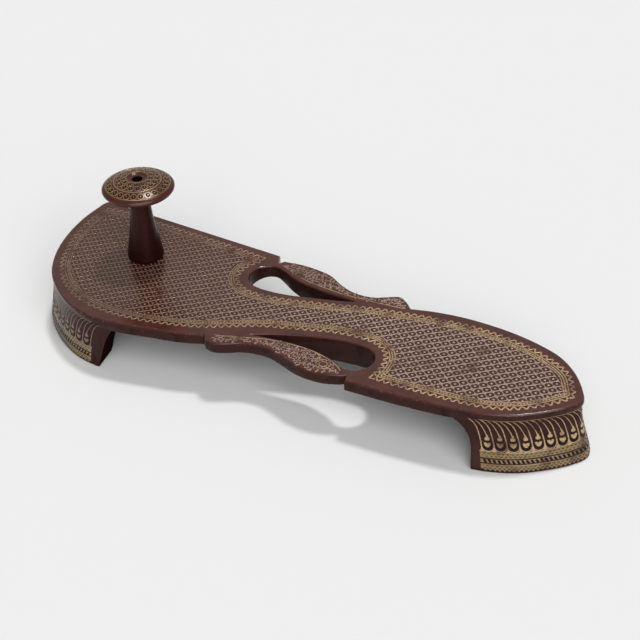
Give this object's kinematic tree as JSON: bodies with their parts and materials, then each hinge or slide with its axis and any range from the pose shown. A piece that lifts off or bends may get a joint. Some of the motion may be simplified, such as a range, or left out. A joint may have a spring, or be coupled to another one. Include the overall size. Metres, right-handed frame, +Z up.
{
  "type": "paduka",
  "caption": "Wooden toe-knob sandal for the left foot: a flat plate with a pierced waist on a horseshoe toe support and a heel support, with a turned post and lens-shaped head.",
  "frame": {"origin": "on the floor, at the centre of the sandal's plan", "axes": "+Z up from the floor, +Y along the foot to the toes, +X to the inner side of the left foot"},
  "size_m": [0.0779, 0.2556, 0.0641],
  "materials": {
    "sole": "satin dark maroon lacquer with painted gold ornament",
    "toe_post": "glossy dark lacquer",
    "post_head": "satin dark lacquer with painted gold ornament"
  },
  "bodies": {
    "root": {"sole": "sole", "toe_post": "toe_post", "post_head": "post_head"}
  },
  "joints": []
}
